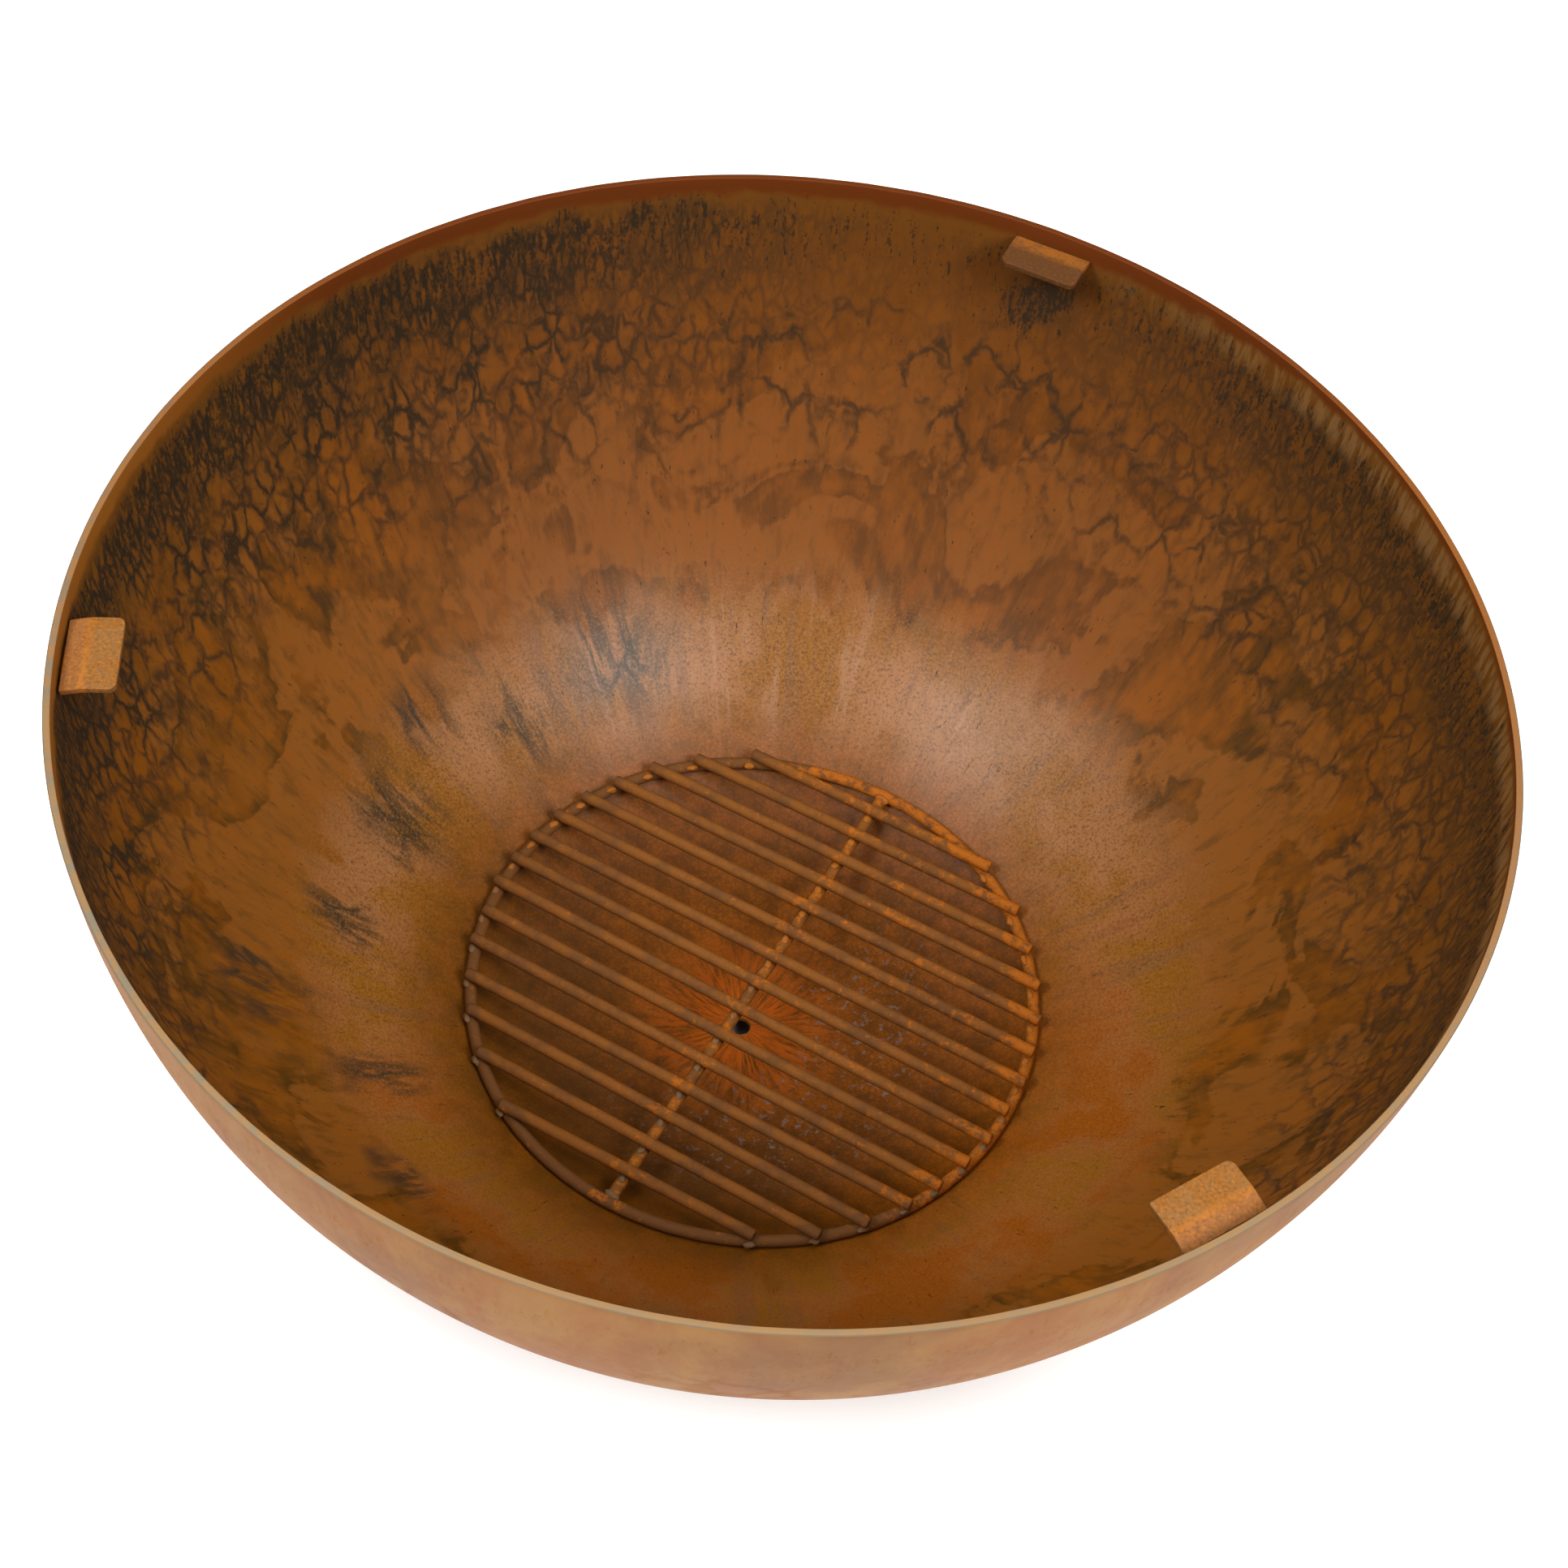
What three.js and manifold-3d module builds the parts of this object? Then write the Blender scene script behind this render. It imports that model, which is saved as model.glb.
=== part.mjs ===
// Round steel fire pit: an open spherical bowl on a short base ring, three bent support tabs
// welded just inside the edge, and a loose grate of parallel rods that rests low in the bowl.
// Millimetres, +Z up. The origin is on the ground, on the axis of the bowl.

import * as THREE from 'three';
import { mergeVertices } from 'three/addons/utils/BufferGeometryUtils.js';
import Module from 'manifold-3d';

const wasm = await Module();
wasm.setup();

// ---------------------------------------------------------------- driving dimensions

const fitGap = 0.3; // clearance left where two pieces touch

// bowl
const rimRadius = 400; // outside, at the open edge
const bowlDepth = 384; // outside, from the edge down to the lowest point
const sheet = 4; // thickness of the bowl's sheet
const bowlSides = 72;
const bowlArcSteps = 22;
const drainRadius = 6.5;
const drainSides = 20;
const drainOffset = -5.4; // the drain is drilled a little off the axis, along X

// base ring, a flat bar rolled on edge
const baseRadius = 160; // outside
const baseHeight = 50;
const baseBar = 4;
const baseBead = 3; // radius of the weld bead round the ring

// support tabs, pieces of flat bar whose outer part is bent a little downwards
const tabAngles = [70.7, 187.7, 307.4]; // about +Z, from +X, in degrees
const tabWidth = 50;
const tabBar = 4;
const tabDrop = 6.4; // from the edge of the bowl down to the top of the shelf
const tabFree = 362.6; // radius from the axis to the shelf's free edge
const tabKnee = 381; // radius from the axis at which the two flat faces would meet
const tabSlope = THREE.MathUtils.degToRad(13); // of the bent part, downwards
const tabBend = 24; // outside radius of the bend
const tabOuter = 393; // radius from the axis to the end beside the wall
const tabCorner = 4; // rounding of the shelf's two free corners
const tabWeldHeight = 7;
const tabWeldDepth = 6; // how far the weld reaches under the tab
const tabWeldRunOut = 3; // from each side of the tab to the end of its weld

// grate, all of one round bar
const bar = 4; // radius of the bar
const barSides = 12;
const ringSides = 84;
const grateRing = 182.2; // radius of the ring's centre line
const rodCount = 15;
const rodPitch = 22.9;
const rodReach = 184; // rods end on this radius, just over the ring
const rodTurn = -23.3; // direction of the rods about +Z, from +X, in degrees
const wallClearance = 0.85; // between the ring and the round surface of the bowl

// ---------------------------------------------------------------- places that follow

const sphereOut = (rimRadius ** 2 + bowlDepth ** 2) / (2 * bowlDepth);
const sphereIn = sphereOut - sheet;
const baseInner = baseRadius - baseBar;
const sphereZ = baseHeight + fitGap + Math.sqrt(sphereOut ** 2 - baseInner ** 2);
const rimZ = sphereZ + bowlDepth - sphereOut;
const tabTop = rimZ - tabDrop;
const ringZ = sphereZ - Math.sqrt((sphereIn - bar - wallClearance) ** 2 - grateRing ** 2);
const rodZ = ringZ + 2 * bar + fitGap;
const rodDirection = THREE.MathUtils.degToRad(rodTurn);

// ---------------------------------------------------------------- helpers

function solid(geometry) {
  const bare = geometry.clone();
  bare.deleteAttribute('normal');
  bare.deleteAttribute('uv');
  const merged = mergeVertices(bare, 1e-4);
  const index = merged.index.array;
  const faces = [];
  for (let i = 0; i < index.length; i += 3) {
    const [a, b, c] = [index[i], index[i + 1], index[i + 2]];
    if (a !== b && b !== c && c !== a) {
      faces.push(a, b, c);
    }
  }
  const vertProperties = new Float32Array(merged.attributes.position.array);
  const triVerts = new Uint32Array(faces);
  return new wasm.Manifold(new wasm.Mesh({ numProp: 3, vertProperties, triVerts }));
}

function surface(manifold) {
  const mesh = manifold.getMesh();
  const geometry = new THREE.BufferGeometry();
  geometry.setAttribute('position', new THREE.BufferAttribute(mesh.vertProperties, 3));
  geometry.setIndex(new THREE.BufferAttribute(mesh.triVerts, 1));
  geometry.computeVertexNormals();
  return geometry;
}

// a lathe profile of (radius, height) turned about +Z
function turned(profile, sides) {
  return new THREE.LatheGeometry(profile, sides).rotateX(Math.PI / 2);
}

// a round bar of the given radius from one point to another
function roundBar(from, to, radius, sides) {
  const along = to.clone().sub(from);
  const upright = new THREE.Vector3(0, 1, 0);
  const turn = new THREE.Quaternion().setFromUnitVectors(upright, along.clone().normalize());
  const middle = from.clone().add(to).multiplyScalar(0.5);
  const place = new THREE.Matrix4().compose(middle, turn, new THREE.Vector3(1, 1, 1));
  return new THREE.CylinderGeometry(radius, radius, along.length(), sides).applyMatrix4(place);
}

const fireBowl = new THREE.Group();
const grate = new THREE.Group();
fireBowl.add(grate);

const rust = new THREE.MeshStandardMaterial({ color: '#8a4a1e', roughness: 0.72, metalness: 0.25 });
const tabRust = new THREE.MeshStandardMaterial({ color: '#b06c34', roughness: 0.8, metalness: 0.2 });
const grateRust = new THREE.MeshStandardMaterial({ color: '#7a4522', roughness: 0.78, metalness: 0.25 });
const weldRust = new THREE.MeshStandardMaterial({ color: '#b85e1c', roughness: 0.85, metalness: 0.15 });

function piece(name, geometry, material, group = fireBowl) {
  const mesh = new THREE.Mesh(geometry, material);
  mesh.name = name;
  group.add(mesh);
  return mesh;
}

// ---------------------------------------------------------------- bowl

// points of an arc about the sphere's centre, from the lowest point up to the edge
function bowlArc(radius) {
  const top = Math.acos((sphereOut - bowlDepth) / radius);
  const points = [];
  for (let i = 0; i <= bowlArcSteps; i += 1) {
    const angle = (top * i) / bowlArcSteps;
    points.push(new THREE.Vector2(radius * Math.sin(angle), sphereZ - radius * Math.cos(angle)));
  }
  return points;
}

function bowlShell() {
  const profile = [...bowlArc(sphereOut), ...bowlArc(sphereIn).reverse()];
  const drillEnds = [0, baseHeight].map((z) => new THREE.Vector3(drainOffset, 0, z));
  const drill = roundBar(...drillEnds, drainRadius, drainSides);
  return surface(solid(turned(profile, bowlSides)).subtract(solid(drill)));
}

piece('bowl_shell', bowlShell(), rust);

// ---------------------------------------------------------------- base ring and its weld

function baseRing() {
  const profile = [
    new THREE.Vector2(baseInner, 0),
    new THREE.Vector2(baseRadius, 0),
    new THREE.Vector2(baseRadius, baseHeight),
    new THREE.Vector2(baseInner, baseHeight),
    new THREE.Vector2(baseInner, 0),
  ];
  return turned(profile, bowlSides);
}

// a fillet bead in the corner between the ring's outside and the bowl's underside
function baseWeld() {
  const radius = baseRadius + baseBead + fitGap;
  const z = sphereZ - Math.sqrt((sphereOut + baseBead + fitGap) ** 2 - radius ** 2);
  return new THREE.TorusGeometry(radius, baseBead, 8, bowlSides).translate(0, 0, z);
}

piece('base_ring', baseRing(), rust);
piece('base_ring_weld', baseWeld(), weldRust);

// ---------------------------------------------------------------- support tabs

// A tab is drawn with +X pointing out from the bowl's axis and its width along Y.
function tabBody() {
  const bendStart = tabKnee - tabBend * Math.tan(tabSlope / 2);
  const bendBottom = tabTop - tabBend;
  const upright = Math.PI / 2;
  const reach = (tabOuter - tabKnee) / Math.cos(tabSlope);
  const endX = tabKnee + reach * Math.cos(tabSlope);
  const endZ = tabTop - reach * Math.sin(tabSlope);
  const side = new THREE.Shape();
  side.moveTo(tabFree, tabTop - tabBar);
  side.lineTo(bendStart, tabTop - tabBar);
  side.absarc(bendStart, bendBottom, tabBend - tabBar, upright, upright - tabSlope, true);
  side.lineTo(endX - tabBar * Math.sin(tabSlope), endZ - tabBar * Math.cos(tabSlope));
  side.lineTo(endX, endZ);
  side.absarc(bendStart, bendBottom, tabBend, upright - tabSlope, upright, false);
  side.lineTo(tabFree, tabTop);
  side.closePath();
  const stripSettings = { depth: tabWidth, bevelEnabled: false, curveSegments: 6 };
  const strip = new THREE.ExtrudeGeometry(side, stripSettings);
  strip.rotateX(Math.PI / 2).translate(0, tabWidth / 2, 0);

  const half = tabWidth / 2;
  const plan = new THREE.Shape();
  plan.moveTo(tabOuter + 1, -half - 1);
  plan.lineTo(tabOuter + 1, half + 1);
  plan.lineTo(tabKnee, half + 1);
  plan.lineTo(tabKnee, half);
  plan.absarc(tabFree + tabCorner, half - tabCorner, tabCorner, Math.PI / 2, Math.PI, false);
  plan.absarc(tabFree + tabCorner, tabCorner - half, tabCorner, Math.PI, Math.PI * 1.5, false);
  plan.lineTo(tabKnee, -half);
  plan.lineTo(tabKnee, -half - 1);
  plan.closePath();
  const trim = new THREE.ExtrudeGeometry(plan, { depth: 12, bevelEnabled: false, curveSegments: 4 });
  trim.translate(0, 0, tabTop - 11);
  return surface(solid(strip).intersect(solid(trim)));
}

// a fillet under the outer end, as wide as the tab less a run-out at both ends
function tabWeld() {
  const drop = (tabOuter - tabKnee) * Math.tan(tabSlope) + tabBar / Math.cos(tabSlope);
  const high = tabTop - drop - fitGap;
  const low = high - tabWeldHeight;
  const inner = tabOuter - tabWeldDepth;
  const length = tabWidth - 2 * tabWeldRunOut;
  const sagitta = (length / 2) ** 2 / (2 * tabOuter);
  const wallAt = (z) => Math.sqrt((sphereIn - wallClearance) ** 2 - (sphereZ - z) ** 2) - sagitta;
  const side = new THREE.Shape();
  side.moveTo(wallAt(high), high);
  side.lineTo(tabOuter, high);
  side.lineTo(inner, high + tabWeldDepth * Math.tan(tabSlope));
  side.quadraticCurveTo(inner + 2, low + 3, wallAt(low), low);
  side.closePath();
  const fillet = new THREE.ExtrudeGeometry(side, { depth: length, bevelEnabled: false, curveSegments: 4 });
  return fillet.rotateX(Math.PI / 2).translate(0, length / 2, 0);
}

tabAngles.forEach((degrees, i) => {
  const tab = piece(`support_tab_${i + 1}`, tabBody(), tabRust);
  const weld = piece(`tab_weld_${i + 1}`, tabWeld(), weldRust);
  tab.rotation.z = THREE.MathUtils.degToRad(degrees);
  weld.rotation.z = tab.rotation.z;
});

// ---------------------------------------------------------------- grate
// The grate is drawn with its rods along X and its cross bar along Y, then turned as a group.

grate.rotation.z = rodDirection;

const ring = new THREE.TorusGeometry(grateRing, bar, barSides, ringSides).translate(0, 0, ringZ);
piece('grate_ring', ring, grateRust, grate);

const crossReach = grateRing - bar - 2 * fitGap;
const crossEnds = [new THREE.Vector3(0, -crossReach, ringZ), new THREE.Vector3(0, crossReach, ringZ)];
piece('grate_cross_bar', roundBar(...crossEnds, bar, barSides), grateRust, grate);

const rodOffsets = Array.from({ length: rodCount }, (_, i) => (i - (rodCount - 1) / 2) * rodPitch);

rodOffsets.forEach((y, i) => {
  const half = Math.sqrt(rodReach ** 2 - y ** 2);
  const rodEnds = [new THREE.Vector3(-half, y, rodZ), new THREE.Vector3(half, y, rodZ)];
  const rod = roundBar(...rodEnds, bar, barSides);
  piece(`grate_rod_${String(i + 1).padStart(2, '0')}`, rod, grateRust, grate);
});

export default fireBowl;
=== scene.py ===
import math

import bpy
import numpy as np
from mathutils import Matrix, Vector


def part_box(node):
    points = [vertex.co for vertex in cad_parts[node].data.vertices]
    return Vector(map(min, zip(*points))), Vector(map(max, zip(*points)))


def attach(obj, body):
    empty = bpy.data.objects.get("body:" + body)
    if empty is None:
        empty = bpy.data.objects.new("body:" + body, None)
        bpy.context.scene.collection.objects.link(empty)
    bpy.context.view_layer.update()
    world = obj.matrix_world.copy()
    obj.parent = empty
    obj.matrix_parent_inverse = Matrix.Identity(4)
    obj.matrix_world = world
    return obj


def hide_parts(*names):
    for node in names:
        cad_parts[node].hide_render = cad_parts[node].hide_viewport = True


# Weathered steel fire pit: a round bowl on a short base ring, three bent support tabs inside the
# edge and a loose grate of rods low in the bowl. Metres, +Z up, the origin on the ground.

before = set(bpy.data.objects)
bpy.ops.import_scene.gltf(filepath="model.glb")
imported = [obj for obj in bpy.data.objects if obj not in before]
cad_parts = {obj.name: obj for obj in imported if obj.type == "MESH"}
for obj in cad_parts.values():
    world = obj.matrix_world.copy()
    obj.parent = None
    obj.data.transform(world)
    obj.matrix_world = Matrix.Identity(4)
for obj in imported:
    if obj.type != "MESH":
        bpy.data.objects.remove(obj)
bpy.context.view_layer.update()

# -------------------- sizes taken from the frame

MM = 0.001
SHARP_ANGLE = math.radians(40)

bowl_low, bowl_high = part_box("bowl_shell")
_, base_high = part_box("base_ring")
weld_low, weld_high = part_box("base_ring_weld")
ring_low, ring_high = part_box("grate_ring")
rod_low, rod_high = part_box("grate_rod_08")

# the bowl is a cap of two spheres about one centre, with a drain hole a little off the axis
SHEET = 4 * MM
RIM_RADIUS = bowl_high.x
RIM_Z = bowl_high.z
BOWL_DEPTH = bowl_high.z - bowl_low.z
SPHERE_OUT = (RIM_RADIUS ** 2 + BOWL_DEPTH ** 2) / (2 * BOWL_DEPTH)
SPHERE_IN = SPHERE_OUT - SHEET
SPHERE_Z = bowl_low.z + SPHERE_OUT
RIM_POLAR = math.acos((SPHERE_Z - RIM_Z) / SPHERE_IN)
RIM_SOFT = 0.55 * MM
RIM_DIP = 0.25 * MM
DRAIN_RADIUS = 6.5 * MM
DRAIN_OFFSET = -5.4 * MM

# the base ring is a hoop of flat bar, with a weld bead where the bowl rests in it
BASE_RADIUS = base_high.x
BASE_HEIGHT = base_high.z
BASE_BAR = 4 * MM
BASE_EDGE = 0.5 * MM
BASE_BEAD = (weld_high.z - weld_low.z) / 2
BASE_BEAD_RADIUS = weld_high.x - BASE_BEAD
BASE_BEAD_Z = (weld_high.z + weld_low.z) / 2
BASE_BEAD_RIPPLES = 250

# each tab is a level shelf, from its free edge to a bend, then a slope down to the wall;
# angles are in degrees, the free edge's two corners have radii in millimetres, and TAB_FREE,
# TAB_KNEE and TAB_OUTER are the places out from the axis of its free edge, bend and outer end
TAB_ANGLES = (70.7, 187.7, 307.4)
TAB_CORNERS = ((4.5, 4.5), (4.5, 4.5), (1.4, 4.8))
TAB_WIDTH = 50 * MM
TAB_BAR = 4 * MM
TAB_TOP = RIM_Z - 6.4 * MM
TAB_FREE = 362.6 * MM
TAB_KNEE = 381 * MM
TAB_SLOPE = math.radians(13)
TAB_BEND = 24 * MM
TAB_OUTER = 393 * MM
TAB_EDGE = 0.6 * MM
TAB_BEAD = 2.7 * MM
TAB_BEAD_RADIUS = TAB_OUTER - 0.9 * MM
TAB_BEAD_Z = TAB_TOP - 9 * MM

# the grate is a ring of round bar on a cross bar, with parallel rods that are each a little skew;
# it stands GRATE_DROP lower than in the frame, where it clears the wall a little
BAR = (ring_high.z - ring_low.z) / 2
BAR_CHAMFER = 0.8 * MM
BAR_SHRINK = 0.985
GRATE_DROP = 0.75 * MM
RING_RADIUS = 182.2 * MM
RING_LOBE = 0.99 * MM
RING_Z = (ring_high.z + ring_low.z) / 2 - GRATE_DROP
ROD_Z = (rod_high.z + rod_low.z) / 2 - GRATE_DROP - 0.3 * MM
ROD_PITCH = 22.9 * MM
ROD_REACH = 184 * MM
ROD_TURN = math.radians(-23.3)
ROD_SKEWS = (0.8, -0.3, -0.5, 0.1, -0.5, -0.4, -0.7, -0.3, 0.0, 0.1, 0.3, 0.6, 0.5, 0.9, 0.4)
MIDDLE_ROD = len(ROD_SKEWS) // 2

ALONG = Vector((math.cos(ROD_TURN), math.sin(ROD_TURN), 0))
ACROSS = Vector((-math.sin(ROD_TURN), math.cos(ROD_TURN), 0))

# directions about the axis, in degrees anticlockwise from +X as seen from above
RIGHT = 0
BACK = 90
LEFT = 180
FRONT = 270


def heading(degrees):
    """Level unit vector in a direction about the axis."""
    angle = math.radians(degrees)
    return math.cos(angle), math.sin(angle), 0.0


# -------------------- mesh helpers

def ripple(points, wavelength, seed, waves=14):
    """Smooth seeded noise at each point, mostly between -1 and 1."""
    rng = np.random.default_rng(seed)
    directions = rng.normal(size=(waves, 3))
    directions /= np.linalg.norm(directions, axis=1, keepdims=True)
    lengths = wavelength * rng.uniform(0.7, 1.6, waves)
    phases = rng.uniform(0, 2 * math.pi, waves)
    angles = points @ (directions * 2 * math.pi / lengths[:, None]).T + phases
    return np.cos(angles).sum(axis=-1) / math.sqrt(waves)


def skin(rows, looped=False):
    """(vertices, faces) of a tube through rows of points, each row a closed loop.
    The last row joins the first if looped, and otherwise both ends are capped."""
    rows = np.asarray(rows, float)
    count, around = rows.shape[:2]
    faces = []
    for i in range(count if looped else count - 1):
        here = i * around
        following = (i + 1) % count * around
        for j in range(around):
            k = (j + 1) % around
            faces.append((here + j, here + k, following + k, following + j))
    if not looped:
        faces.append(tuple(reversed(range(around))))
        faces.append(tuple(range((count - 1) * around, count * around)))
    return rows.reshape(-1, 3), faces


def make_piece(name, parts, material, body, nodes=()):
    """One named piece from (vertices, faces) parts, smooth except at its sharp edges."""
    points, faces = [], []
    total = 0
    for vertices, polygons in parts:
        points.append(vertices)
        faces.extend(tuple(total + i for i in p) for p in polygons)
        total += len(vertices)
    mesh = bpy.data.meshes.new(name)
    mesh.from_pydata(np.concatenate(points).tolist(), [], faces)
    mesh.validate()
    mesh.polygons.foreach_set("use_smooth", [True] * len(mesh.polygons))
    mesh.set_sharp_from_angle(angle=SHARP_ANGLE)
    mesh.materials.append(material)
    piece = bpy.data.objects.new(name, mesh)
    bpy.context.scene.collection.objects.link(piece)
    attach(piece, body)
    if nodes:
        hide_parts(*nodes)


def circle(sides):
    """Cosines and sines of evenly spaced angles round a circle."""
    angles = np.arange(sides) * 2 * math.pi / sides
    return np.cos(angles), np.sin(angles)


def rounded(corners, radius):
    """Section through arcs of a quarter turn, each corner (x and y of its centre, first angle)."""
    points = []
    for x, y, start in corners:
        for i in range(4):
            angle = math.radians(start + 30 * i)
            points.append((x + radius * math.cos(angle), y + radius * math.sin(angle)))
    return points


def bead_row(angle, radius, z, size, sides):
    """Round section, at an angle in radians, of a weld bead that runs about the axis."""
    cos, sin = circle(sides)
    out = radius + size * cos
    return np.stack([out * math.cos(angle), out * math.sin(angle), z + size * sin], axis=-1)


# -------------------- node helpers

def rgb(red, green, blue):
    """A linear colour from sRGB values up to 255."""
    def linear(value):
        share = value / 255
        return share / 12.92 if share <= 0.04045 else ((share + 0.055) / 1.055) ** 2.4

    return linear(red), linear(green), linear(blue), 1.0


class Shader:
    """One material. Each method adds a node and returns its output socket."""

    def __init__(self, name, specular=0.5):
        self.material = bpy.data.materials.new(name)
        self.material.use_nodes = True
        self.tree = self.material.node_tree
        self.tree.nodes.clear()
        output = self.tree.nodes.new("ShaderNodeOutputMaterial")
        self.surface = self.tree.nodes.new("ShaderNodeBsdfPrincipled")
        self.surface.inputs["Specular IOR Level"].default_value = specular
        self.tree.links.new(self.surface.outputs["BSDF"], output.inputs["Surface"])
        self.place = self.tree.nodes.new("ShaderNodeTexCoord").outputs["Object"]

    def feed(self, socket, value):
        if isinstance(value, bpy.types.NodeSocket):
            self.tree.links.new(value, socket)
        else:
            socket.default_value = value

    def node(self, kind, output, inputs, **settings):
        made = self.tree.nodes.new(kind)
        for name, value in settings.items():
            setattr(made, name, value)
        for name, value in inputs.items():
            self.feed(made.inputs[name], value)
        return made.outputs[output]

    def math(self, operation, a, b=0.0):
        return self.node("ShaderNodeMath", 0, {0: a, 1: b}, operation=operation)

    def add(self, a, b):
        return self.math("ADD", a, b)

    def minus(self, a, b):
        return self.math("SUBTRACT", a, b)

    def times(self, a, *more):
        for b in more:
            a = self.math("MULTIPLY", a, b)
        return a

    def most(self, a, b):
        return self.math("MAXIMUM", a, b)

    def invert(self, a):
        return self.math("SUBTRACT", 1.0, a)

    def vector(self, operation, a, b=(0.0, 0.0, 0.0)):
        output = 1 if operation in ("DOT_PRODUCT", "LENGTH") else 0
        return self.node("ShaderNodeVectorMath", output, {0: a, 1: b}, operation=operation)

    def split(self, vector):
        made = self.tree.nodes.new("ShaderNodeSeparateXYZ")
        self.feed(made.inputs[0], vector)
        return made.outputs[0], made.outputs[1], made.outputs[2]

    def join(self, x, y, z):
        return self.node("ShaderNodeCombineXYZ", 0, {0: x, 1: y, 2: z})

    def rise(self, value, low, high):
        """0 up to low and 1 from high, smooth between; falls instead if low is above high."""
        inputs = {"Value": value, "From Min": low, "From Max": high}
        return self.node("ShaderNodeMapRange", 0, inputs, interpolation_type="SMOOTHSTEP")

    def noise(self, at, scale, detail=2.0, roughness=0.5, distortion=0.0):
        inputs = {
            "Vector": at,
            "Scale": scale,
            "Detail": detail,
            "Roughness": roughness,
            "Distortion": distortion,
        }
        return self.node("ShaderNodeTexNoise", 0, inputs)

    def wobble(self, at, scale, amount):
        """The same places, each pushed about by up to roughly amount."""
        inputs = {"Vector": at, "Scale": scale, "Detail": 2.0}
        colour = self.node("ShaderNodeTexNoise", 1, inputs)
        centred = self.vector("SUBTRACT", colour, (0.5, 0.5, 0.5))
        push = self.vector("MULTIPLY", centred, (4 * amount,) * 3)
        return self.vector("ADD", at, push)

    def cell_edge(self, at, scale):
        """Distance to the nearest edge of a cell pattern, in cell sizes."""
        inputs = {"Vector": at, "Scale": scale}
        feature = {"feature": "DISTANCE_TO_EDGE"}
        return self.node("ShaderNodeTexVoronoi", "Distance", inputs, **feature)

    def mix(self, share, a, b):
        made = self.tree.nodes.new("ShaderNodeMix")
        made.data_type = "RGBA"
        self.feed(made.inputs[0], share)
        self.feed(made.inputs[6], a)
        self.feed(made.inputs[7], b)
        return made.outputs[2]

    def mix_number(self, share, a, b):
        return self.add(self.times(self.invert(share), a), self.times(share, b))

    def finish(self, colour, roughness, height, bump_distance, bump_strength):
        inputs = {"Height": height, "Distance": bump_distance, "Strength": bump_strength}
        normal = self.node("ShaderNodeBump", 0, inputs)
        self.feed(self.surface.inputs["Base Color"], colour)
        self.feed(self.surface.inputs["Roughness"], roughness)
        self.feed(self.surface.inputs["Normal"], normal)
        return self.material


# -------------------- bowl material

class Wall:
    """Places on the bowl's wall: depth is the way down from the edge, in metres along the wall,
    and unrolled is the wall laid round a cylinder, so that patterns have no seam. Shaken is the
    same, pushed about to give ragged outlines, and sides is 1 at the left and less at the right."""

    def __init__(self, shader):
        self.shader = shader
        centred = shader.vector("SUBTRACT", shader.place, (0.0, 0.0, SPHERE_Z))
        self.radius = shader.vector("LENGTH", centred)
        x, y, z = shader.split(shader.vector("NORMALIZE", centred))
        polar = shader.math("ARCCOSINE", shader.times(z, -1.0))
        self.depth = shader.times(shader.minus(RIM_POLAR, polar), SPHERE_IN)
        self.around = shader.vector("NORMALIZE", shader.join(x, y, 0.0))
        ax, ay, _ = shader.split(self.around)
        self.unrolled = shader.join(
            shader.times(ax, SPHERE_IN), shader.times(ay, SPHERE_IN), self.depth
        )
        self.shaken = shader.wobble(self.unrolled, 28.0, 0.012)
        at_right = shader.times(self.facing(RIGHT + 8, 72), 0.62)
        self.sides = shader.most(self.facing(LEFT - 18, 80), at_right)

    def stretched(self, along):
        """The unrolled wall with its depth scaled, so that patterns run down the wall."""
        return self.shader.vector("MULTIPLY", self.unrolled, (1.0, 1.0, along))

    def facing(self, degrees, half_width):
        """1 about that angle round the axis, falling to 0 at half_width degrees from it."""
        closeness = self.shader.vector("DOT_PRODUCT", self.around, heading(degrees))
        outer = math.cos(math.radians(half_width))
        inner = math.cos(math.radians(half_width * 0.4))
        return self.shader.rise(closeness, outer, inner)

    def between(self, top, bottom, soft_top, soft_bottom):
        """1 between two depths in millimetres, with soft ends."""
        shader = self.shader
        below = shader.rise(self.depth, (top - soft_top) * MM, (top + soft_top) * MM)
        above = shader.rise(self.depth, (bottom + soft_bottom) * MM, (bottom - soft_bottom) * MM)
        return shader.times(below, above)

    def spot(self, degrees, depth, half_width, half_length):
        """1 at a place on the wall, fading to 0 at an oval round it. Sizes in millimetres."""
        x, y, _ = heading(degrees)
        centre = (SPHERE_IN * x, SPHERE_IN * y, depth * MM)
        away = self.shader.vector("SUBTRACT", self.shaken, centre)
        scale = (1 / (half_width * MM), 1 / (half_width * MM), 1 / (half_length * MM))
        reach = self.shader.vector("LENGTH", self.shader.vector("MULTIPLY", away, scale))
        return self.shader.rise(reach, 1.0, 0.25)


# In the patterns below, scales are in cycles per metre, depths and lengths in millimetres,
# directions and half widths of facing() in degrees, and thresholds and shares from 0 to 1.

# the band under the edge, and the edge's own cut face
EDGE_BAND = rgb(108, 48, 0)
EDGE_GOLD = rgb(154, 92, 24)
FRINGE_TAN = rgb(150, 110, 62)
CUT_TAN = rgb(156, 120, 78)
CUT_GREY = rgb(132, 120, 98)
CUT_ORANGE = rgb(146, 86, 30)
CUT_LINE = rgb(118, 104, 84)

# the upper wall
GOLD_BROWN = rgb(135, 79, 18)
WARM_BROWN = rgb(124, 70, 2)
BACK_BROWN = rgb(108, 50, 0)
STREAK_ZONE = rgb(114, 70, 14)
ISLAND = rgb(138, 83, 26)
ORANGE_WASH = rgb(142, 78, 0)
OLIVE_EDGE = rgb(80, 50, 4)
CHARCOAL = rgb(44, 33, 16)

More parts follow.
